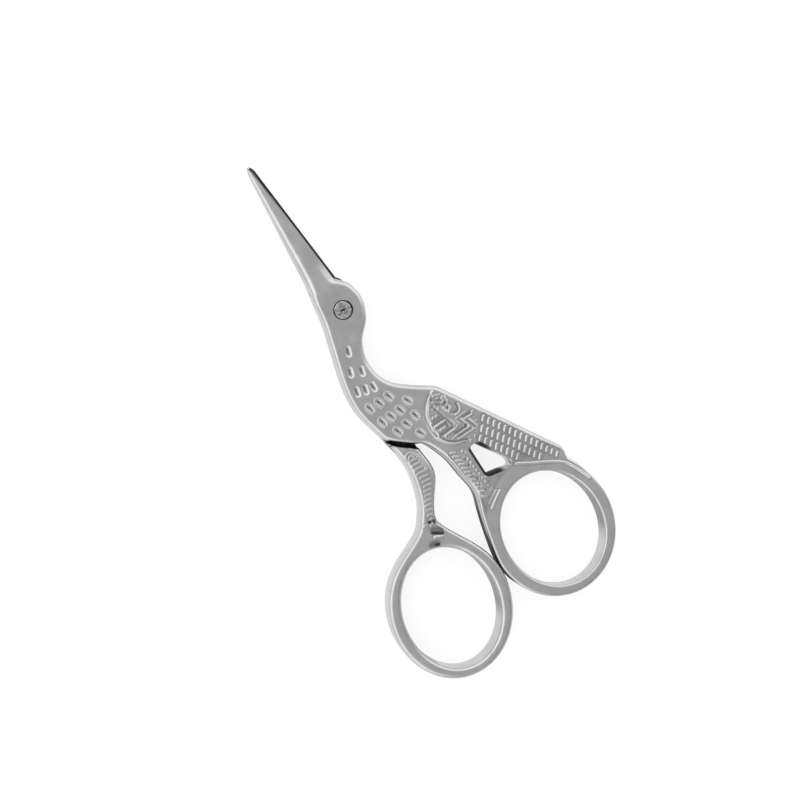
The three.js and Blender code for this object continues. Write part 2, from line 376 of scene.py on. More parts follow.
wing_bumps = strokes_at((
    (4.45, -23.6), (5.3, -22.1), (4.55, -22.0), (2.8, -24.4), (3.45, -24.5), (6.7, -23.4), (6.65, -24.65),
    (5.75, -28.0), (7.7, -29.3), (9.5, -27.5), (6.2, -22.3), (5.6, -23.2), (2.9, -26.95), (3.7, -26.95),
    (3.0, -28.4), (9.1, -29.3), (6.3, -31.6), (7.5, -31.3),
), 60, 0.25)
wing_pits = strokes_at(((6.2, -23.35), (6.1, -24.35), (7.1, -29.0)), 60, 0.3)
wing = wing_edge + wing_hem + wing_ripple + wing_moat + wing_lines + wing_grooves + wing_bumps + wing_pits
print(len(wing), "wing strokes")

# %% Tail
tail_start = np.array((10.5, -29.6))
tail_run = np.array((0.522, -0.853))
tail_side = np.array((-0.853, -0.522))
bar_pitch = 1.12
row_pitch = 1.77
bar_lean = 46
tail_rows = ((0, 0.0, 15, 0.7), (1, 0.5, 12, 0.85), (2, 0.9, 8, 0.8))
tail = []
for row, first, count, length in tail_rows:
    for i in range(count):
        x, y = tail_start + row * row_pitch * tail_side + (first + i) * bar_pitch * tail_run
        tail.append(stroke(x, y, bar_lean, length))
tail_hem = rounded([
    (11.2, -40.0), (13.0, -41.2), (15.0, -42.4), (17.0, -43.6), (19.1, -45.1), (20.2, -47.1), (20.9, -48.7),
    (21.5, -50.3),
])
window_corner = drawn([(10.75, -38.7), (10.35, -39.45)])
window_sill = rounded([(4.9, -38.45), (5.9, -39.1), (7.4, -39.45), (9.8, -39.6)])
print(len(tail), "tail bars")

# %% Legs
rib_pitch = 0.87
rib_count = 11
knee_level = -28


def leg_row(x, y, drift, degrees, length):
    """Strokes one below the other down the front leg, each a little further to the side."""
    return [stroke(x + drift * i, y - i * rib_pitch, degrees, length) for i in range(rib_count)]


front_ribs = leg_row(2.4, -31.5, 0.06, -36, 0.9)
front_dots = leg_row(3.95, -32.2, 0.07, 80, 0.25)
front_pits = strokes_at((
    (4.0, -32.9), (3.75, -33.8), (3.65, -35.0), (3.1, -36.9), (3.6, -37.9), (3.2, -39.2), (3.7, -40.4),
), 40, 0.3)
front_seam = rounded([(1.65, -31.5), (1.9, -34.0), (2.15, -37.0), (2.2, -40.0), (2.1, -42.6), (1.6, -44.0)])
front_cuff = rounded([(2.65, -40.9), (2.8, -41.5), (4.0, -41.45), (4.9, -41.0)])
front_cuff += rounded([(3.1, -42.95), (4.3, -42.35), (5.4, -41.75)])
front_bar = drawn([(3.05, -43.95), (4.5, -43.05), (5.95, -42.25)])
rear_spine = np.array([
    (-4.2, -28.5), (-4.25, -31.5), (-4.4, -33.2), (-5.6, -35.2), (-6.4, -36.6), (-7.1, -38.1),
])
rear_ribs = []
for x, y in divided(rear_spine, rib_pitch):
    drop = y - knee_level
    rear_ribs.append(stroke(x, y, -6 + 1.4 * drop, 1.75 + 0.1 * drop))
rear_knee = rounded([
    (-5.4, -28.0), (-5.1, -27.2), (-4.4, -26.9), (-3.7, -27.2), (-3.15, -28.0), (-3.1, -31.2),
])
rear_knee += rounded([(-4.8, -27.9), (-4.5, -27.6), (-4.0, -27.6), (-3.7, -28.0)])
rear_notch = drawn([(-8.45, -41.1), (-7.0, -42.15)]) + [stroke(-8.9, -43.3, -25, 0.5)]
rear_notch += [stroke(-7.1, -39.55, 80, 0.2), stroke(-7.9, -39.2, -10, 0.1)]
rear_bar = drawn([(-8.6, -41.95), (-7.3, -42.65)])
rear_bumps = [stroke(-7.45, -38.9, 0, 0.3), stroke(-8.7, -39.3, -10, 0.8), stroke(-7.8, -39.75, 0, 0.5)]
# Patches of painted shade around the notch at the ankle.
rear_ankle_shade = drawn([(-8.1, -40.8), (-7.0, -41.4)]) + [stroke(-9.3, -43.0, -22, 0.9)]
print(len(front_ribs), "front ribs", len(rear_ribs), "rear ribs")

# %% [markdown]
# ## Dressing a half
# A forging like this is flat stock: seen from above every place has one height on the outer face and one
# below. So each half is made as a fine triangle mesh of its outline, lifted to the right height at each
# point, with a second copy below and walls between. Close to the border the height follows a round, wider
# along the bird's back. Triangles are small where ornament will be struck.

# %% Curves and distances
def soft(value, low, high):
    """0 below low, 1 above high, with a smooth run between."""
    t = np.clip((value - low) / (high - low), 0, 1)
    return t * t * (3 - 2 * t)


def fall(distance, radius):
    """How far a rounded edge has dropped at this distance from the border."""
    inner = np.clip(radius - distance, 0, radius)
    return radius - np.sqrt(np.maximum(radius**2 - inner**2, 0))


def stroke_distance(points, strokes):
    """Distance from each point to the nearest stroke."""
    best = np.full(len(points), np.inf)
    for x, y, angle, length in strokes:
        along = np.array((math.cos(angle), math.sin(angle)))
        away = points - (x, y)
        t = np.clip(away @ along, -length / 2, length / 2)
        best = np.minimum(best, np.linalg.norm(away - t[:, None] * along, axis=1))
    return best


def inside(points, rings):
    """True for the points that lie inside the outer ring and outside the holes."""
    x, y = points.T
    odd = np.zeros(len(points), bool)
    for ring in rings:
        for (ax, ay), (bx, by) in zip(ring, np.roll(ring, -1, 0)):
            if ay != by:
                spans = (ay > y) != (by > y)
                odd ^= spans & (x < ax + (y - ay) * (bx - ax) / (by - ay))
    return odd


print("half way in, a round has dropped by", round(float(fall(0.5, 1.0)), 3), "of its radius")

# %% Plan points
inset_steps = (0.05, 0.13, 0.25, 0.4, 0.6, 0.85, 1.15)
inset_share = 0.96
bore_steps = (0.4, 0.55, 0.75, 1.0)
bore_reach = 2.25
outer_step = 0.095
under_step = 0.17
coarse_step = 0.5
coarse_gap = 0.1
stroke_reach = 0.6
border_gap = 0.08


def lattice(rings, step):
    """Points of a triangular lattice over the outline."""
    low = rings[0].min(0)
    high = rings[0].max(0)
    rows = np.arange(low[1], high[1], step * math.sqrt(3) / 2)
    columns = np.arange(low[0], high[0], step)
    grid = [np.c_[columns + (i % 2) * step / 2, np.full(len(columns), y)] for i, y in enumerate(rows)]
    return np.concatenate(grid)


def border_tree(rings):
    """Search tree of closely spaced border points."""
    return search_tree(np.concatenate([divided_ring(r, border_step / 4) for r in rings]))


def inset_points(rings, tree):
    """Rows of points at set distances inside the border."""
    rows = []
    for ring in rings:
        along = np.roll(ring, -1, 0) - np.roll(ring, 1, 0)
        side = np.c_[-along[:, 1], along[:, 0]]
        side /= np.linalg.norm(side, axis=1)[:, None]
        if not inside(ring[:1] + skin * side[:1], rings)[0]:
            side = -side
        for reach in bore_steps if ring_length(ring) < bore_length else inset_steps:
            row = ring + reach * side
            rows.append(row[distances(tree, row) > inset_share * reach])
    rows = np.concatenate(rows)
    return rows[inside(rows, rings)]


def face_points(rings, strokes, tree, fine_step):
    """A lattice over the face, fine near the strokes."""
    fine = lattice(rings, fine_step)
    fine = fine[stroke_distance(fine, strokes) < stroke_reach]
    coarse = lattice(rings, coarse_step)
    coarse = coarse[stroke_distance(coarse, strokes) > stroke_reach + coarse_gap]
    loose = np.concatenate([fine, coarse])
    loose = loose[inside(loose, rings)]
    loose = loose[np.hypot(*loose.T) > bore_reach]
    return loose[distances(tree, loose) > border_gap]


print("lattice steps", outer_step, "mm in ornament and", coarse_step, "mm on plain faces")

# %% Triangles of the plan
step_gap = 0.06
plan_merge = 1e-4


def plan_mesh(rings, step, points):
    """Places, triangles and where each border point went, with the step line kept as edges."""
    border = np.concatenate(rings)
    edges = []
    first = 0
    for ring in rings:
        edges += [(first + i, first + (i + 1) % len(ring)) for i in range(len(ring))]
        first += len(ring)
    if step is not None:
        edges += [(first + i, first + i + 1) for i in range(len(step) - 1)]
        away = stroke_distance(points, drawn(step))
        points = np.concatenate([step, points[away > step_gap]])
    every = np.concatenate([border, points])
    plan = delaunay_2d_cdt([Vector(p) for p in every], edges, [], 0, plan_merge)
    places = np.array([p[:] for p in plan[0]])
    triangles = np.array([f[:] for f in plan[2]])
    triangles = triangles[inside(places[triangles].mean(1), rings)]
    a, b, c = (places[triangles[:, i]] for i in range(3))
    turn = (b[:, 0] - a[:, 0]) * (c[:, 1] - a[:, 1]) - (b[:, 1] - a[:, 1]) * (c[:, 0] - a[:, 0])
    triangles[turn < 0] = triangles[turn < 0][:, ::-1]
    went = np.zeros(len(every), int)
    for new, old in enumerate(plan[3]):
        went[old] = new
    return places, triangles, went[:len(border)]


def side_owners(triangles):
    """The triangles on each side, by the pair of points it joins."""
    owners = {}
    for i, triangle in enumerate(triangles.tolist()):
        for k in range(3):
            pair = (triangle[k], triangle[(k + 1) % 3])
            owners.setdefault((min(pair), max(pair)), []).append(i)
    return owners


square = [np.array([(0, 0), (1, 0), (1, 1), (0, 1)], float)]
trial = plan_mesh(square, None, np.array([(0.5, 0.4)]))
print("a square with one inner point takes", len(trial[1]), "triangles")

# %% Closed body from two plans
full_depth = 0.5


def full_triangles(solid, places, triangles, owners):
    """True for the triangles where the half has its full thickness."""
    full = np.full(len(triangles), -1)
    for i, (x, y) in enumerate(places[triangles].mean(1)):
        z = underside_at(solid, x, y)
        if z is not None:
            full[i] = z < ride_level - full_depth
    while (full < 0).any():
        for pair in [p for p in owners.values() if len(p) == 2]:
            if full[pair].min() < 0:
                full[pair] = np.where(full[pair] < 0, full[pair].max(), full[pair])
    return full.astype(bool)


def closed_body(upper, lower, full, owners, top, ride, bottom):
    """Outer face, riding face, underside and walls as one closed mesh."""
    up_places, up_triangles, up_border = upper
    low_places, low_triangles, low_border = lower
    ride_first = len(up_places)
    low_first = ride_first + len(low_places)
    vertices = np.concatenate([np.c_[up_places, top], np.c_[low_places, ride], np.c_[low_places, bottom]])
    faces = [tuple(t) for t in up_triangles.tolist()]
    for triangle, whole in zip(low_triangles.tolist(), full):
        shift = low_first if whole else ride_first
        faces.append(tuple(v + shift for v in reversed(triangle)))
    upper_of = dict(zip(low_border.tolist(), up_border.tolist()))
    for pair, sides in owners.items():
        if len(sides) == 2 and full[sides[0]] == full[sides[1]]:
            continue
        owner = next((s for s in sides if full[s]), sides[0])
        triangle = low_triangles[owner].tolist()
        k = next(n for n in range(3) if {triangle[n], triangle[(n + 1) % 3]} == set(pair))
        i, j = triangle[k], triangle[(k + 1) % 3]
        if len(sides) == 1:
            faces.append((ride_first + i, ride_first + j, upper_of[j], upper_of[i]))
        if full[owner]:
            faces.append((low_first + i, low_first + j, ride_first + j, ride_first + i))
    return vertices, faces


print("full thickness reaches more than", full_depth, "mm below the riding face")

# %% [markdown]
# ## Edges, blade and painted shade
# The head runs out into the blade. On the real scissors a grinding wheel cuts the blade face and slants it
# towards the edge at the heel, where it lifts off. Here the blade face is a low ridge that thins to the
# point, with a bevel at the heel. The spine is a wide round and the cutting edge a narrow bevel. The finger
# rings are thinner bars, and around the window the underside is drawn back, as a forging leaves its die.
# Two painted values go with the mesh: one for shade painted into corners, gaps and along edges, and one
# for faces that are only ground.

# %% Blade face
blade_length = 28.8
blade_root = 3.5
head_end = 2.0
head_middle = -0.4
root_thickness = 1.9
tip_thickness = 0.6
ridge_share = 0.55
ridge_run = (4.0, 12.0)
crown = 0.05
land_share = 0.97
heel_start = (4.2, 5.4)
heel_end = (6.5, 11.5)
heel_slope = 0.3
heel_width = 1.5


def blade_sides(ring, heights, spine_left):
    """X of the spine and of the cutting edge at each height, from the outline."""
    upper = ring[ring[:, 1] > head_end]
    middle = np.interp(upper[:, 1], (head_end, blade_length), (head_middle, 0.0))
    sides = []
    for chain in (upper[upper[:, 0] < middle], upper[upper[:, 0] >= middle]):
        chain = chain[np.argsort(chain[:, 1])]
        sides.append(np.interp(heights, chain[:, 1], chain[:, 0]))
    return sides if spine_left else sides[::-1]


def blade_face(places, ring, spine_left):
    """Height above the riding face, which places lie beyond the ridge, and the blade's thickness."""
    x, y = places.T
    spine, edge = blade_sides(ring, y, spine_left)
    across = np.clip((x - spine) / (edge - spine + 1e-9), 0, 1)
    width = np.abs(edge - spine)
    share = np.clip((y - blade_root) / (blade_length - blade_root), 0, 1)
    thick = root_thickness + (tip_thickness - root_thickness) * share
    fade = soft(y, *ridge_run)
    face = thick - fade * crown * (np.maximum(ridge_share - across, 0) * width)**2
    face -= fade * (1 - land_share) * thick * np.maximum(across - ridge_share, 0) / (1 - ridge_share)
    heel = soft(y, *heel_start) * (1 - soft(y, *heel_end))
    face -= heel_slope * heel * np.maximum(heel_width - (1 - across) * width, 0)
    return np.minimum(face, stack - ride_level), across > ridge_share, thick


print("blade thins from", root_thickness, "to", tip_thickness, "mm over", blade_length, "mm")

# %% Edges of the faces
edge_round = 0.75
back_round = 1.05
back_side = (0.85, 0.52)
back_aim = (0.3, 0.8)
bore_round = 0.2
front_ring_round = 0.5
rear_ring_round = 0.8
under_ring_round = 0.5
front_ring_thin = 0.5
rear_ring_thin = 0.15
ring_bar = 2.6
ring_fade = (1.0, 1.2)
snap_share = 0.15
window_round = 0.2
window_run = (0.5, 1.2)
window_touch = 0.03
window_draft = 1.0
draft_run = (0.1, 1.3)
least_away = 0.01


def has_window(rings):
    """True for the front half: outer ring, finger hole, window and bore."""
    return len(rings) == 4


def ringness(points, hole):
    """1 on the bar of the finger ring around this hole, 0 on the leg and the bird."""
    centre = (hole.min(0) + hole.max(0)) / 2
    half = (hole.max(0) - hole.min(0)) / 2 + ring_bar
    reach = np.linalg.norm((points - centre) / half, axis=1)
    return 1 - soft(reach, *ring_fade)


def edge_drop(places, border, rings, tree, under):
    """How far the face has fallen at each place, its distance from the border and the edge's radius."""
    away = distances(tree, places)
    for reach in inset_steps:
        away[np.abs(away - reach) < min(snap_share * reach, skin)] = reach
    away[border] = 0
    bar = ringness(places, rings[1])
    ring_round = front_ring_round if has_window(rings) else rear_ring_round
    ring_round = under_ring_round if under else ring_round
    nearest = np.array([tree.find((x, y, 0))[0][:2] for x, y in places])
    aim = (nearest - places) @ back_side / np.maximum(away, least_away)
    radius = edge_round + (back_round - edge_round) * soft(aim, *back_aim)
    radius += (ring_round - radius) * bar
    radius[np.hypot(*places.T) < bore_reach] = bore_round
    drop = fall(away, radius)
    if has_window(rings):
        rim = distances(border_tree([rings[2]]), places)
        rim[away == 0] = np.where(rim[away == 0] < window_touch, 0, rim[away == 0])
        near = soft(rim, *window_run)
        drop = near * drop + (1 - near) * fall(rim, window_round)
        if under:
            drop = np.maximum(drop, window_draft * (1 - soft(rim, *draft_run)))
    thin = front_ring_thin if has_window(rings) else rear_ring_thin
    return drop + (0 if under else thin) * bar, away, radius


print("edges rounded by", edge_round, "mm, along the back by", back_round, "mm")

# %% Painted shade in the corners
# Painted shade on the walls of the finger holes, on all but their lowest part.
hole_wall_shade = 0.5
hole_run = (0.0, 0.15)
hole_lift = (-0.75, -0.4)
# Painted shade at the window's rim, on its left part and below its top.
window_rim_shade = 0.95
window_shade_run = (0.4, 0.65)
window_shade_side = (0.5, 0.8)
window_shade_top = (32.2, 32.8)
# Painted shade on the leg's wall where it faces the other leg, across the narrow gap between them.
upper_wall_shade = 0.9
wall_touch = 0.05
wall_run = (0.0, 0.12)
leg_top = (26.0, 27.5)
leg_bend = (46.0, 50.0)
leg_foot = (57.0, 58.5)
leg_wall_places = (29, 33, 40, 44)
lower_wall_shades = (0.85, 0.7, 0.7, 0.95)
leg_side_places = (26.0, 40.0, 47.0, 55.0, 58.0)
leg_side_x = (5.0, 4.0, 0.5, 1.5, 2.0)


def corner_shade(places, rings, away, below):
    """Painted shade in the finger hole, at the window's rim and on the leg's inner wall."""
    x, y = places.T
    hole = rings[1]
    lift = (y - (hole[:, 1].min() + hole[:, 1].max()) / 2) / np.ptp(hole[:, 1]) * 2
    # Painted shade on the finger hole's wall, fading out towards its lowest part.
    hole_wall_share = (1 - soft(distances(border_tree([hole]), places), *hole_run)) * soft(lift, *hole_lift)
    if not has_window(rings):
        return hole_wall_shade * hole_wall_share
    window = rings[2]
    share = (x - window[:, 0].min()) / np.ptp(window[:, 0])
    # Painted shade along the window's rim.
    rim = 1 - soft(distances(border_tree([window]), places), *window_shade_run)
    shade_share = window_rim_shade * rim * (1 - soft(share, *window_shade_side)) * soft(-y, *window_shade_top)
    # Painted shade on the leg wall that faces the other half.
    outer = distances(border_tree([rings[0]]), places) < away + wall_touch
    wall = outer * (1 - soft(away, *wall_run)) * soft(-y, *leg_top) * (1 - soft(-y, *leg_foot))
    if below:
        wall *= np.interp(-y, leg_wall_places, lower_wall_shades)
    else:
        wall *= upper_wall_shade * soft(-y, *leg_bend)
    leg_side = np.interp(-y, leg_side_places, leg_side_x)
    # Each place takes the darkest of the painted shades that reach it.
    return np.maximum(np.maximum(shade_share, hole_wall_shade * hole_wall_share), wall * (x < leg_side))


print("shade_share", window_rim_shade, "in the window and", hole_wall_shade, "in the finger holes")

# %% Outer face
blade_start = 2.5
least_blade = 0.1
front_edge_run = (4.4, 6.0)
rear_edge_run = (7.0, 8.0)
spine_round = 1.4
spine_share = 0.75
spine_run = (blade_start, 8.0)
edge_bevel = 0.25
edge_foot = 0.35
# A strip of painted shade on the cutting edge's bevel, darker near the heel and near the point.
edge_shade_places = (5.0, 8.0, 16.0, 24.0)
edge_shade_shares = (0.8, 0.25, 0.25, 0.85)
edge_shade_fade = 0.08
ground_depth = 0.05
seat_radius = 1.64
seat_depth = 0.96
seat_rim = 0.16
# Painted shade in the gap between the screw head and its seat, at the seat's two sides.
seat_gap_shade = 0.95
seat_right = (0.6, 0.95)
seat_left = (0.7, 0.95)
seat_left_share = 0.7


def outer_face(upper, rings, tree, turned):
    """Heights, soil and grinding of the outer face."""
    places = upper[0]
    drop, away, radius = edge_drop(places, upper[2], rings, tree, turned)
    top = stack - drop
    ground = np.zeros(len(places))
    grime = corner_shade(places, rings, away, False)
    blade = places[:, 1] > blade_start
    y = places[blade, 1]
    near = away[blade]
    face, beyond, thick = blade_face(places[blade], rings[0], not turned)
    sharp = beyond * soft(y, *(rear_edge_run if turned else front_edge_run))
    spine = np.minimum(spine_round, spine_share * thick)
    softened = fall(near, radius[blade] + soft(y, *spine_run) * (spine - radius[blade]))
    bevelled = np.maximum(1 - near / edge_bevel, 0) * (face - edge_foot)
    top[blade] = ride_level + face - (1 - sharp) * softened - sharp * bevelled
    ground[blade] = soft(stack - ride_level - face, 0, ground_depth)
    # Painted shade along the bevel of the cutting edge.
    edge_shade = np.interp(y, edge_shade_places, edge_shade_shares) * sharp
    edge_shade *= 1 - soft(near, edge_bevel, edge_bevel + edge_shade_fade)
    grime[blade] = np.maximum(grime[blade], edge_shade)
    return np.maximum(top, ride_level + least_blade), grime, ground


def sink_seat(places, top, grime):
    """The round seat of the screw head, with painted shade in the gap at its two sides."""
    reach = np.hypot(*places.T)
    seat = reach < seat_radius
    top[seat] = np.minimum(top[seat], stack - seat_depth)
    aim = places[:, 0] / np.maximum(reach, least_away)
    # Painted shade in two crescents at the rim of the seat.
    crescent = np.maximum(soft(aim, *seat_right), seat_left_share * soft(-aim, *seat_left))
    grime[:] = np.maximum(grime, seat_gap_shade * crescent * (reach < seat_radius + seat_rim))


print("screw seat", 2 * seat_radius, "mm wide")

# %% Riding face and underside
step_round = 0.2
hollow = 0.1
hollow_run = (4.0, 5.5)
hollow_side = (0.15, 1.2)
# Painted shade on the riding face near the step, where the halves cross, and in the step's corner below.
ride_corner = (0.5, 1.4)
step_corner = (0.0, 0.3)
# Painted shade on the rear blade's riding face, in a strip along its edge beside the front blade.
blade_line_shade = 0.95
blade_line_start = (3.2, 4.2)
blade_line_side = (0, 0.3)
blade_line_run = (0.5, 0.9)


def inner_faces(lower, step, rings, tree, turned):
    """Heights, painted shade and grinding of the riding face and of the underside."""
    places = lower[0]
    bottom, away, _ = edge_drop(places, lower[2], rings, tree, not turned)
    to_step = stroke_distance(places, drawn(step))
    bottom += fall(to_step, step_round)
    ride = ride_level + hollow * soft(places[:, 1], *hollow_run) * soft(away, *hollow_side)
    corners = corner_shade(places, rings, away, True)
    # Painted shade near the step, between the two halves.
    ride_shade = np.maximum(1 - soft(to_step, *ride_corner), corners)
    # On the rear half, a line of painted shade along the blade's riding face.
    if turned:
        blade_line = soft(places[:, 1], *blade_line_start) * soft(places[:, 0], *blade_line_side) * (1 - soft(away, *blade_line_run))
        ride_shade = np.maximum(ride_shade, blade_line_shade * blade_line)
    bottom_shade = np.maximum(1 - soft(to_step, *step_corner), corners)
    return ride, bottom, [ride_shade, bottom_shade], [np.ones(len(places)), np.zeros(len(places))]


print("riding faces hollow by", hollow, "mm")

# %% [markdown]
# ## The two halves
# The faces are now joined to closed bodies. The rear half was measured upside down, so it is turned back at
# the end, and its faces with it. Points that no face uses are dropped. The mesh is shaded smooth, and only
# its real corners stay sharp.

# %% Objects in the scene
forging_corner = 50


def in_scene(name, data):
    """An object that holds this mesh, light or camera, linked to the scene."""
    thing = bpy.data.objects.new(name, data)
    bpy.context.scene.collection.objects.link(thing)
    return thing


def paint(mesh, label, values):
    """A number on every point of the mesh."""
    layer = mesh.attributes.new(label, "FLOAT", "POINT")
    layer.data.foreach_set("value", np.asarray(values, np.float32))


def shade_smooth(mesh, corner):
    """Smooth shading, but for edges sharper than this angle in degrees."""
    mesh.polygons.foreach_set("use_smooth", [True] * len(mesh.polygons))
    mesh.set_sharp_from_angle(angle=math.radians(corner))


def make_plain(body):
    """Turns a body with modifiers into one plain mesh."""
    bpy.context.view_layer.update()
    graph = bpy.context.evaluated_depsgraph_get()
    mesh = bpy.data.meshes.new_from_object(body.evaluated_get(graph))
    body.modifiers.clear()
    body.data = mesh


def forging(name, vertices, faces, grime, ground):
    """A forged body in metres, unused points dropped."""
    used = np.zeros(len(vertices), bool)
    used[[v for f in faces for v in f]] = True
    index = np.cumsum(used) - 1
    places = (vertices[used] + (pivot.x, pivot.y, 0)) * mm
    mesh = bpy.data.meshes.new(name)
    mesh.from_pydata(places.tolist(), [], [tuple(int(index[v]) for v in f) for f in faces])
    # Shade painted onto the points; the dies later add shade and some dirt in their pits.
    paint(mesh, "grime", grime[used])
    paint(mesh, "ground", ground[used])
    shade_smooth(mesh, forging_corner)
    mesh.update()
    return in_scene(name, mesh)


print("corners sharper than", forging_corner, "degrees stay sharp")

# %% Dressed halves
def dressed(node, turned, strokes):
    """One half as a closed forging, measured upside down if turned."""
    rings = outlines[node]
    tree = border_tree(rings)
    insets = inset_points(rings, tree)
    fine_above, fine_below = (under_step, outer_step) if turned else (outer_step, under_step)
    upper = plan_mesh(rings, None, np.r_[insets, face_points(rings, strokes, tree, fine_above)])
    lower = plan_mesh(rings, steps[node], np.r_[insets, face_points(rings, strokes, tree, fine_below)])
    owners = side_owners(lower[1])
    full = full_triangles(trees[node], lower[0], lower[1], owners)
    top, outer_shade, outer_ground = outer_face(upper, rings, tree, turned)
    if not turned:
        sink_seat(upper[0], top, outer_shade)
    ride, bottom, inner_shade, inner_ground = inner_faces(lower, steps[node], rings, tree, turned)
    vertices, faces = closed_body(upper, lower, full, owners, top, ride, bottom)
    if turned:
        vertices[:, 2] = stack - vertices[:, 2]
        faces = [f[::-1] for f in faces]
    grime = np.concatenate([outer_shade, *inner_shade])
    ground = np.concatenate([outer_ground, *inner_ground])
    return forging(node.replace("_half", "_forging"), vertices, faces, grime, ground)


front_strokes = feathers + wing + tail + tail_hem + window_corner + window_sill
front_strokes += front_ribs + front_dots + front_pits + front_seam + front_cuff + front_bar
rear_strokes = feathers + rear_ribs + rear_knee + rear_bar + rear_notch + rear_bumps + rear_ankle_shade
front = dressed("front_half", False, front_strokes)
rear = dressed("rear_half", True, rear_strokes)
for body in (front, rear):
    print(body.name, len(body.data.vertices), "points", len(body.data.polygons), "faces")

# %% [markdown]
# ## Plated steel
# Bright nickel on forged steel: a mirror that has been handled. Fine rub marks and soft clouds change the
# gloss, and ground faces keep straight grinding lines. A dark colour is painted in as shade in corners,
# gaps and hollows, with some dirt in the struck pits. A few helpers make the nodes, because the same kinds
# come back in the die, the table and the light.

# %% Node helpers
def feed(tree, socket, value):
    """Links a socket to another one, or sets it to a plain value."""
    if isinstance(value, bpy.types.NodeSocket):
        tree.links.new(value, socket)
    else:
        socket.default_value = value


def made(tree, kind, settings=None, **inputs):
    """A node of this kind. An underscore in an input's name stands for a space."""
    node = tree.nodes.new(kind)
    for label, value in (settings or {}).items():
        setattr(node, label, value)
    for label, value in inputs.items():
        feed(tree, node.inputs[label.replace("_", " ")], value)
    return node


def worked(tree, operation, *values):
    """The result of a math node."""
    node = made(tree, "ShaderNodeMath", {"operation": operation})
    for socket, value in zip(node.inputs, values):
        feed(tree, socket, value)
    return node.outputs["Value"]


def ranged(tree, value, given, wanted, kind="LINEAR"):
    """A value moved from the given range to the wanted one and held at its ends."""
    node = made(tree, "ShaderNodeMapRange", {"interpolation_type": kind}, Value=value)
    for label, bound in zip(("From Min", "From Max", "To Min", "To Max"), (*given, *wanted)):
        feed(tree, node.inputs[label], bound)
    return node.outputs["Result"]


def mixed(tree, share, a, b, blend="MIX"):
    """Two colours mixed by a share."""
    settings = {"data_type": "RGBA", "blend_type": blend}
    return made(tree, "ShaderNodeMix", settings, Factor=share, A=a, B=b).outputs["Result"]


print("node helpers for finishes, dies, table and light")

# %% Plate
noise_middle = (0.3, 0.7)
rub_scale = 2200
rub_stretch = (1, 0.12, 1)
rub_bump = 0.5
grind_scale = 5200
grind_stretch = (0.05, 1, 1)
cloud_gloss = (0.16, 0.26)
rub_gloss = (-0.03, 0.05)
# The dark colour painted in as shade, with some dirt in the struck pits.
shade_and_soil_colour = (0.015, 0.015, 0.016, 1)
shade_and_soil_roughness = 0.4
bump_strength = 0.12
bump_height = 0.02 * mm


def noise(tree, scale, stretch, detail):
    """Noise on the object's own coordinates, stretched along one axis."""
    place = made(tree, "ShaderNodeTexCoord").outputs["Object"]
    turn = made(tree, "ShaderNodeMapping", Vector=place, Scale=stretch).outputs["Vector"]
    return made(tree, "ShaderNodeTexNoise", Vector=turn, Scale=scale, Detail=detail).outputs["Fac"]


def painted(tree, label):
    """A number that was painted on the mesh."""
    return made(tree, "ShaderNodeAttribute", {"attribute_name": label}).outputs["Fac"]


def plated_steel(name, bright, dark, cloud_scale):
    material = bpy.data.materials.new(name)
    material.use_nodes = True
    tree = material.node_tree
    clouds = noise(tree, cloud_scale, (1, 1, 1), 3)
    rubs = noise(tree, rub_scale, rub_stretch, 4)
    grind = noise(tree, grind_scale, grind_stretch, 2)
    grime = painted(tree, "grime")
    tone = mixed(tree, ranged(tree, clouds, noise_middle, (0.0, 1.0)), (*dark, 1), (*bright, 1))
    gloss = ranged(tree, clouds, noise_middle, cloud_gloss)
    gloss = worked(tree, "ADD", gloss, ranged(tree, rubs, noise_middle, rub_gloss))
    lines = worked(tree, "MULTIPLY", grind, painted(tree, "ground"))
    height = worked(tree, "MULTIPLY_ADD", rubs, rub_bump, lines)
    bump = made(tree, "ShaderNodeBump", Strength=bump_strength, Distance=bump_height, Height=height)
    shader = tree.nodes["Principled BSDF"].inputs
    shader["Metallic"].default_value = 1.0
    # The painted shade and soil darken the colour and dull the gloss.
    feed(tree, shader["Base Color"], mixed(tree, grime, tone, shade_and_soil_colour))
    feed(tree, shader["Roughness"], worked(tree, "MULTIPLY_ADD", grime, shade_and_soil_roughness, gloss))
    feed(tree, shader["Normal"], bump.outputs["Normal"])
    return material


plate = plated_steel("bright_plate", (0.67, 0.67, 0.68), (0.59, 0.59, 0.6), 260)
screw_plate = plated_steel("screw_plate", (0.85, 0.85, 0.85), (0.25, 0.25, 0.25), 2400)
print("finishes", plate.name, screw_plate.name)

# %% [markdown]
# ## Striking the ornament
# One node tree strikes every mark. It takes points, puts a stroke on each in its own direction, measures
# how far every vertex of the face lies from the nearest stroke, and moves the vertex by a small profile: a
# pit in the middle, a raised lip around it. With the lip's radius at zero it becomes a plain raised line.
# A dark colour is painted into the pit as shade, with some dirt. Only level places on the chosen side move,
# so walls and the other face stay.

# %% The die tree
die_sizes = ("Pit radius", "Pit depth", "Lip radius", "Lip width", "Lip height", "Middle level")
# How much dark colour is painted into the hollows as shade and dirt, and the side that is struck.
die_shares = ("Soil", "Side")
pit_floor = 0.3
level_face = (0.8, 0.97)
outside_gap = 0.5 * mm


def hump(tree, value, low, high):
    """1 at low falling softly to 0 at high."""
    return ranged(tree, value, (low, high), (1.0, 0.0), "SMOOTHSTEP")


def combined(tree, **parts):
    return made(tree, "ShaderNodeCombineXYZ", **parts).outputs["Vector"]


def point_value(tree, label):
    node = made(tree, "GeometryNodeInputNamedAttribute", {"data_type": "FLOAT"}, Name=label)
    return node.outputs["Attribute"]


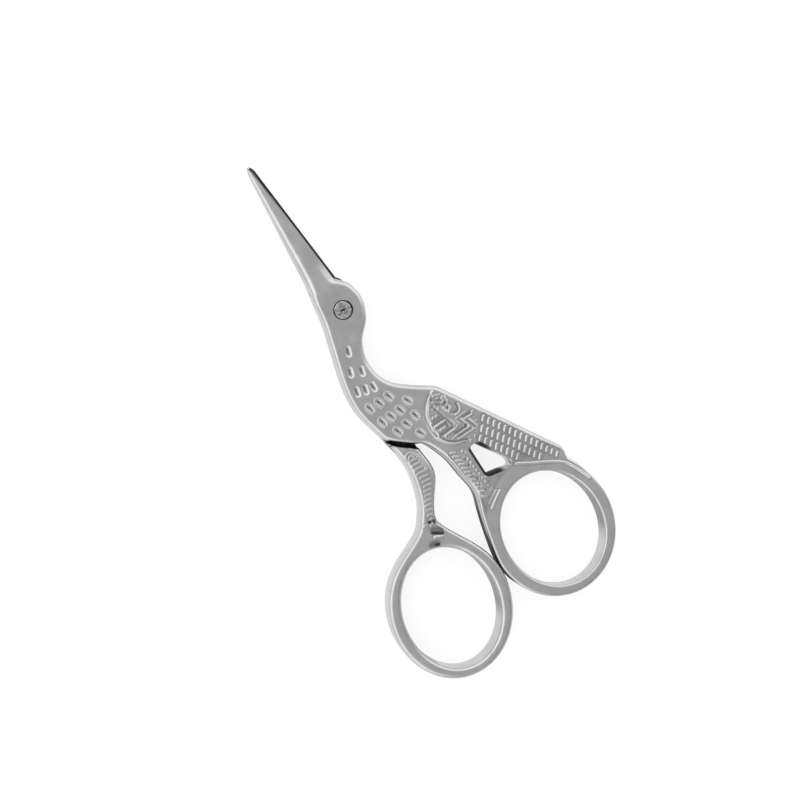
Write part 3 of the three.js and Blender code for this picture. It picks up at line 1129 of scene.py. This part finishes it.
def stroke_lines(tree, marks):
    """The strokes of the marks as loose edges."""
    points = made(tree, "GeometryNodeObjectInfo", Object=marks).outputs["Geometry"]
    ends = {"Start_Location": (-0.5, 0, 0), "Offset": (0.5, 0, 0)}
    unit = made(tree, "GeometryNodeMeshLine", {"mode": "END_POINTS"}, Count=2, **ends).outputs["Mesh"]
    turn = combined(tree, Z=point_value(tree, "turn"))
    span = combined(tree, X=point_value(tree, "span"))
    placed = made(
        tree, "GeometryNodeInstanceOnPoints", Points=points, Instance=unit, Rotation=turn, Scale=span,
    )
    whole = made(tree, "GeometryNodeRealizeInstances", Geometry=placed.outputs["Instances"])
    return whole.outputs["Geometry"]


def open_face(tree, place, given):
    """1 on level places of the chosen side, 0 elsewhere."""
    normal = made(tree, "GeometryNodeInputNormal").outputs["Normal"]
    up = made(tree, "ShaderNodeSeparateXYZ", Vector=normal).outputs["Z"]
    facing = worked(tree, "MULTIPLY", up, given["Side"])
    above = worked(tree, "SUBTRACT", place["Z"], given["Middle level"])
    outside = worked(tree, "GREATER_THAN", worked(tree, "MULTIPLY", above, given["Side"]), outside_gap)
    level = worked(tree, "SUBTRACT", 1.0, hump(tree, facing, *level_face))
    return worked(tree, "MULTIPLY", level, outside)


def die_tree():
    tree = bpy.data.node_groups.new("strike_marks", "GeometryNodeTree")
    kinds = {"Geometry": "Geometry", "Marks": "Object", "Finish": "Material"}
    for label in die_sizes + die_shares:
        kinds[label] = "Float"
    for label, kind in kinds.items():
        tree.interface.new_socket(label, in_out="INPUT", socket_type=f"NodeSocket{kind}")
    tree.interface.new_socket("Geometry", in_out="OUTPUT", socket_type="NodeSocketGeometry")
    given = made(tree, "NodeGroupInput").outputs

    position = made(tree, "GeometryNodeInputPosition").outputs["Position"]
    place = made(tree, "ShaderNodeSeparateXYZ", Vector=position).outputs
    flat = combined(tree, X=place["X"], Y=place["Y"])
    strokes = stroke_lines(tree, given["Marks"])
    edges = {"target_element": "EDGES"}
    near = made(tree, "GeometryNodeProximity", edges, Geometry=strokes, Sample_Position=flat)
    distance = near.outputs["Distance"]
    floor = worked(tree, "MULTIPLY", given["Pit radius"], pit_floor)
    pit_share = hump(tree, distance, floor, given["Pit radius"])
    pit = worked(tree, "MULTIPLY", pit_share, given["Pit depth"])
    off_lip = worked(tree, "ABSOLUTE", worked(tree, "SUBTRACT", distance, given["Lip radius"]))
    lip_share = hump(tree, off_lip, 0.0, given["Lip width"])
    lip = worked(tree, "MULTIPLY", lip_share, given["Lip height"])
    allowed = open_face(tree, place, given)
    rise = worked(tree, "MULTIPLY", worked(tree, "SUBTRACT", lip, pit), allowed)
    shift = combined(tree, Z=worked(tree, "MULTIPLY", rise, given["Side"]))
    moved = made(tree, "GeometryNodeSetPosition", Geometry=given["Geometry"], Offset=shift)

    # Dark colour painted into the hollow as shade, with some dirt.
    hollow_share = worked(tree, "MULTIPLY", pit_share, worked(tree, "SUBTRACT", 1.0, lip_share))
    shade_share = worked(tree, "MULTIPLY", worked(tree, "MULTIPLY", hollow_share, allowed), given["Soil"])
    grime = worked(tree, "MAXIMUM", point_value(tree, "grime"), shade_share)
    number = {"data_type": "FLOAT", "domain": "POINT"}
    moved = moved.outputs["Geometry"]
    soiled = made(
        tree, "GeometryNodeStoreNamedAttribute", number, Geometry=moved, Name="grime", Value=grime,
    )
    whole = made(tree, "GeometryNodeRealizeInstances", Geometry=soiled.outputs["Geometry"])
    whole = whole.outputs["Geometry"]
    finish = made(tree, "GeometryNodeSetMaterial", Geometry=whole, Material=given["Finish"])
    made(tree, "NodeGroupOutput", Geometry=finish.outputs["Geometry"])
    return tree


strike = die_tree()
sockets = {s.name: s.identifier for s in strike.interface.items_tree if s.in_out == "INPUT"}
print("die tree with", len(strike.nodes), "nodes")

# %% [markdown]
# ## The dies
# Each die is a row of five sizes in millimetres, in the order of the tree's inputs, and a share of painted
# shade and dirt.
# The front half is struck on both sides. The rear half carries the neck and breast on the side that faces
# the table, and its leg on both.

# %% Striking a half
# The last number of each die is the share of dark colour painted into its hollows: shade, with some dirt.
neck_die = (0.6, 0.14, 0.65, 0.2, 0.02, 0.0)
scale_die = (0.55, 0.05, 0.0, 0.01, 0.0, 0.2)
rim_die = (0.0, 0.0, 0.0, 0.3, 0.08, 0.0)
# Painted shade at one side of each feather pit, with a shallow dent.
pit_shade_die = (0.4, 0.02, 0.0, 0.01, 0.0, 0.65)
dot_die = (0.34, 0.14, 0.42, 0.16, 0.04, 0.8)
edge_die = (0.55, 0.04, 0.0, 0.46, 0.22, 0.25)
groove_die = (0.42, 0.08, 0.0, 0.01, 0.0, 0.5)
moat_die = (0.6, 0.16, 0.0, 0.01, 0.0, 0.1)
line_die = (0.5, 0.04, 0.0, 0.33, 0.12, 0.4)
bar_die = (0.9, 0.05, 0.0, 0.38, 0.18, 0.42)
rib_die = (0.55, 0.05, 0.0, 0.44, 0.15, 0.4)
leg_die = (0.5, 0.05, 0.0, 0.33, 0.14, 0.45)
speck_die = (0.4, 0.06, 0.44, 0.16, 0.03, 0.5)
hem_die = (0.62, 0.05, 0.0, 0.38, 0.19, 0.45)
bump_die = (0.55, 0.05, 0.0, 0.36, 0.14, 0.45)
# The notch is a small dent with a dark colour painted in as shade.
notch_die = (0.55, 0.05, 0.0, 0.01, 0.0, 0.92)
seam_die = (0.3, 0.03, 0.0, 0.01, 0.0, 0.35)
# Painted shade only: no dent, just the dark colour.
shade_patch_die = (1.05, 0.0, 0.0, 0.01, 0.0, 0.62)
front_dies = (
    (neck_pits, neck_die), (scale_pits, scale_die), (scale_rims + wing_ripple, rim_die),
    (neck_pit_shade + scale_pit_shade, pit_shade_die), (wing_grooves, groove_die), (wing_moat, moat_die),
    (wing_edge, edge_die), (wing_lines + wing_hem, line_die), (wing_bumps, bump_die), (wing_pits, dot_die),
    (tail, bar_die), (tail_hem + front_bar + window_corner, hem_die), (front_seam, seam_die),
    (front_ribs + front_cuff + window_sill, leg_die), (front_dots, leg_die), (front_pits, speck_die),
)
table_side_dies = (
    (neck_pits, neck_die), (scale_pits, scale_die), (scale_rims, rim_die),
    (neck_pit_shade + scale_pit_shade, pit_shade_die),
)
rear_dies = (
    (rear_ribs + rear_knee, rib_die), (rear_ankle_shade, shade_patch_die), (rear_notch, notch_die),
    (rear_bar, hem_die), (rear_bumps, bump_die),
)
both = (1, -1)
table_side = (-1,)


def mark_points(name, strokes):
    """The strokes' middles as loose points that carry direction and length."""
    mesh = bpy.data.meshes.new(name)
    mesh.from_pydata([((x + pivot.x) * mm, (y + pivot.y) * mm, 0) for x, y, _, _ in strokes], [], [])
    paint(mesh, "turn", [s[2] for s in strokes])
    paint(mesh, "span", [s[3] * mm for s in strokes])
    return in_scene(name, mesh)


def struck(body, dies):
    """Strikes each set of strokes into its sides of the body, which ends as a plain mesh."""
    helpers = []
    for number, (strokes, die, sides) in enumerate(dies):
        points = mark_points(f"{body.name}_marks_{number}", strokes)
        helpers.append(points)
        for side in sides:
            modifier = body.modifiers.new(f"die_{number}_{side}", "NODES")
            modifier.node_group = strike
            modifier[sockets["Marks"]] = points
            modifier[sockets["Finish"]] = plate
            values = [v * mm for v in die[:5]] + [stack / 2 * mm, die[5], float(side)]
            for label, value in zip(die_sizes + die_shares, values):
                modifier[sockets[label]] = value
    make_plain(body)
    for points in helpers:
        bpy.data.objects.remove(points)


struck(front, [(*die, both) for die in front_dies])
struck(rear, [(*die, table_side) for die in table_side_dies] + [(*die, both) for die in rear_dies])
print("struck", len(front_dies), "dies into", front.name, "and", len(rear_dies), "into", rear.name)

# %% [markdown]
# ## The pivot screw
# A small cheese-head screw, turned on a lathe and slotted. It sits in a round seat in the head of the bird.
# The profile is spun round the axis and a box is cut from the head. The box is divided along its length,
# so that the floor of the slot has points that can carry painted shade.

# %% Lathe profile
low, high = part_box("pivot_screw")
head_radius = (high.x - low.x) / 2 / mm
screw_top = high.z / mm
screw_foot = low.z / mm
head_height = 0.9
head_floor = screw_top - head_height
head_round = 0.14
head_dome = 0.06
shoulder_points = 7
shoulder_end = 0.3
dome_rim = 0.2
dome_points = 6
shank_radius = 1.1
foot_bevel = 0.15
lathe_sides = 96


def spun(name, profile, sides):
    """A closed lathe body from a profile that starts and ends on the axis."""
    work = bmesh.new()
    line = [work.verts.new((r * mm, 0, z * mm)) for r, z in profile]
    rim = [work.edges.new(pair) for pair in zip(line, line[1:])]
    bmesh.ops.spin(work, geom=line + rim, cent=(0, 0, 0), axis=(0, 0, 1), angle=2 * math.pi, steps=sides)
    bmesh.ops.remove_doubles(work, verts=work.verts, dist=merge_gap)
    bmesh.ops.recalc_face_normals(work, faces=work.faces)
    mesh = bpy.data.meshes.new(name)
    work.to_mesh(mesh)
    work.free()
    return in_scene(name, mesh)


shoulder = []
for a in np.linspace(math.pi / 2, shoulder_end, shoulder_points):
    lift = head_round * (math.cos(a) - 1) - head_dome
    shoulder.append((head_radius + head_round * (math.sin(a) - 1), screw_top + lift))
dome_places = np.linspace(head_radius - dome_rim, 0, dome_points)
dome = [(r, screw_top - head_dome * (r / head_radius)**2) for r in dome_places]
screw = spun("slotted_screw", [
    (0, screw_foot), (shank_radius - foot_bevel, screw_foot), (shank_radius, screw_foot + foot_bevel),
    (shank_radius, head_floor), (head_radius, head_floor), *shoulder, *dome,
], lathe_sides)
print("screw head", round(2 * head_radius, 2), "mm wide")

# %% Slot
slot_width = 0.45
slot_depth = 0.17
slot_turn = math.radians(-14)
slot_bevel = 0.06
slot_cuts = 15
soft_edge = 0.05
soft_corner = math.radians(50)

cutter = in_scene("slot_cutter", bpy.data.meshes.new("slot_cutter"))
slot_size = (3 * head_radius * mm, slot_width * mm, 2 * slot_depth * mm, 1)
work = bmesh.new()
bmesh.ops.create_cube(work, size=1, matrix=Matrix.Diagonal(slot_size))
bmesh.ops.bevel(work, geom=work.edges[:], offset=slot_bevel * mm, segments=2, affect="EDGES")
for place in np.linspace(-1.0, 1.0, slot_cuts) * head_radius * mm:
    parts = work.verts[:] + work.edges[:] + work.faces[:]
    bmesh.ops.bisect_plane(work, geom=parts, plane_co=(place, 0, 0), plane_no=(1, 0, 0))
work.transform(Matrix.Translation((0, 0, screw_top * mm)) @ Matrix.Rotation(slot_turn, 4, "Z"))
work.to_mesh(cutter.data)
work.free()
cut = screw.modifiers.new("slot", "BOOLEAN")
cut.object = cutter
cut.solver = "EXACT"
edge = screw.modifiers.new("soft_edges", "BEVEL")
edge.width = soft_edge * mm
edge.segments = 2
edge.angle_limit = soft_corner
make_plain(screw)
bpy.data.objects.remove(cutter)
print("slot", slot_width, "mm wide and", slot_depth, "mm deep")

# %% Screw finish
screw_corner = 40
# Painted shade on the floor of the slot, darkest in the middle and lighter towards the ends.
slot_shade = 0.95
slot_shade_depth = (0.08, 0.15)
slot_end_fade = 0.85
slot_end_run = (0.3, 0.9)
slot_end_rim = 0.1
screw_mesh = screw.data
screw_mesh.transform(Matrix.Translation((pivot.x * mm, pivot.y * mm, 0)))
places = np.array([v.co[:] for v in screw_mesh.vertices]) / mm - (pivot.x, pivot.y, 0)
reach = np.hypot(places[:, 0], places[:, 1])
slot_shade_share = slot_shade - slot_end_fade * soft(reach, *slot_end_run) * (reach < head_radius - slot_end_rim)
# Painted shade in the slot.
paint(screw_mesh, "grime", soft(screw_top - places[:, 2], *slot_shade_depth) * slot_shade_share)
paint(screw_mesh, "ground", np.zeros(len(places)))
screw_mesh.materials.append(screw_plate)
shade_smooth(screw_mesh, screw_corner)
print("screw", len(screw_mesh.polygons), "faces")

# %% [markdown]
# ## Riding on the frame
# Each dressed piece stands for its solid and moves with that solid's body.

# %% Bodies and replaced solids
for piece, body, node, slot in (
    (front, "front", "front_half", "plated_steel"),
    (rear, "rear", "rear_half", "plated_steel"),
    (screw, "rear", "pivot_screw", "screw_steel"),
):
    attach(piece, body)
    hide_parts(node)
print("pieces ride on their bodies")

# %% [markdown]
# ## Table, light and camera
# The scissors lie on a white table. To the camera and in the metal's mirror the table glows close to white,
# and a little paint under the glow keeps the shadow. For all other light it is plain pale paint. The light
# is a tent: a hood that is bright at its sides, greyer overhead and darker on one side, with one weak panel
# to the left. Metal shows what is around it, so the tones of the hood draw the bright walls and the grey
# faces. The camera looks down from the upper left and is rolled, so that the beak points up and to the
# left.

# %% Table
table_half = 1.5
table_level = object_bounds()[0].z
table_glow = 0.82
mirror_share = 0.8


def table_finish():
    material = bpy.data.materials.new("white_table")
    material.use_nodes = True
    tree = material.node_tree
    tree.nodes.remove(tree.nodes["Principled BSDF"])
    plain = made(tree, "ShaderNodeBsdfDiffuse", Color=(0.8, 0.8, 0.8, 1))
    pale = made(tree, "ShaderNodeBsdfDiffuse", Color=(0.24, 0.24, 0.24, 1))
    glow = made(tree, "ShaderNodeEmission", Color=(1, 1, 1, 1), Strength=table_glow)
    white = made(tree, "ShaderNodeAddShader")
    path = made(tree, "ShaderNodeLightPath").outputs
    mirrored = worked(tree, "MAXIMUM", path["Is Glossy Ray"], path["Is Transmission Ray"])
    seen = worked(tree, "MULTIPLY_ADD", mirrored, mirror_share, path["Is Camera Ray"])
    mix = made(tree, "ShaderNodeMixShader", Fac=seen)
    for shader, socket in (
        (pale.outputs["BSDF"], white.inputs[0]), (glow.outputs["Emission"], white.inputs[1]),
        (plain.outputs["BSDF"], mix.inputs[1]), (white.outputs["Shader"], mix.inputs[2]),
        (mix.outputs["Shader"], tree.nodes["Material Output"].inputs["Surface"]),
    ):
        tree.links.new(shader, socket)
    return material


corners = [(x * table_half, y * table_half, table_level) for x, y in ((-1, -1), (1, -1), (1, 1), (-1, 1))]
table_mesh = bpy.data.meshes.new("table")
table_mesh.from_pydata(corners, [], [(0, 1, 2, 3)])
table_mesh.materials.append(table_finish())
table = in_scene("table", table_mesh)
print("table", 2 * table_half, "m")

# %% Light panel
panel_way = Vector((-0.56, 0.4, 0.72)).normalized()
panel_distance = 0.55
panel_width = 0.3
panel_height = 0.45
panel_shine = 0.12

light = bpy.data.lights.new("left_panel", "AREA")
light.shape = "RECTANGLE"
light.size = panel_width
light.size_y = panel_height
light.energy = panel_shine * math.pi * panel_width * panel_height
panel = in_scene("left_panel", light)
panel.location = panel_way * panel_distance
panel.rotation_euler = (-panel_way).to_track_quat("-Z", "Y").to_euler()
print("panel looks", panel_shine, "bright")

# %% Light tent
hood_top = (0.2, -0.14, 0.97)
hood_places = (0.15, 0.25, 0.62, 0.78, 0.87, 0.94)
hood_tones = (0.75, 0.75, 1.25, 1.3, 1.06, 0.73, 0.55, 0.51)
dark_side = (0.4, -0.92, 0)
dark_run = (0.42, 0.64)
dark_share = 0.46

world = bpy.data.worlds.new("light_tent")
bpy.context.scene.world = world
world.use_nodes = True
tent = world.node_tree
direction = made(tent, "ShaderNodeTexCoord").outputs["Generated"]


def facing(way):
    """How far a direction of the tent points this way, from -1 to 1."""
    node = made(tent, "ShaderNodeVectorMath", {"operation": "DOT_PRODUCT"})
    node.inputs[1].default_value = Vector(way).normalized()
    tent.links.new(direction, node.inputs[0])
    return node.outputs["Value"]


hood = made(tent, "ShaderNodeValToRGB", Fac=facing(hood_top))
stops = hood.color_ramp.elements
for place in hood_places:
    stops.new(place)
for stop, tone in zip(stops, hood_tones):
    stop.color = (tone, tone, tone, 1)
shade = ranged(tent, facing(dark_side), dark_run, (1.0, dark_share), "SMOOTHSTEP")
dimmed = mixed(tent, 1.0, hood.outputs["Color"], shade, "MULTIPLY")
tent.links.new(dimmed, tent.nodes["Background"].inputs["Color"])
print("light tent with", len(stops), "tones")

# %% Camera
lens = 43.14
sensor = 36.0
eye = Vector((-31.65, 23.26, 166.0)) * mm
target = Vector((1.29, 0.23, 0.0)) * mm
roll = math.radians(33.28)
camera_data = bpy.data.cameras.new("camera")
camera_data.lens = lens
camera_data.sensor_width = sensor
camera_data.clip_start = 0.01
camera = in_scene("camera", camera_data)
ahead = (target - eye).normalized()
level_up = (Vector((0, 1, 0)) - ahead.y * ahead).normalized()
level_right = ahead.cross(level_up)
up = math.cos(roll) * level_up + math.sin(roll) * level_right
right = ahead.cross(up)
camera.matrix_world = Matrix.Translation(eye) @ Matrix((right, up, -ahead)).transposed().to_4x4()
bpy.context.scene.camera = camera
bpy.context.scene.view_settings.view_transform = "Standard"
print("camera", round((target - eye).length / mm, 1), "mm from the table")
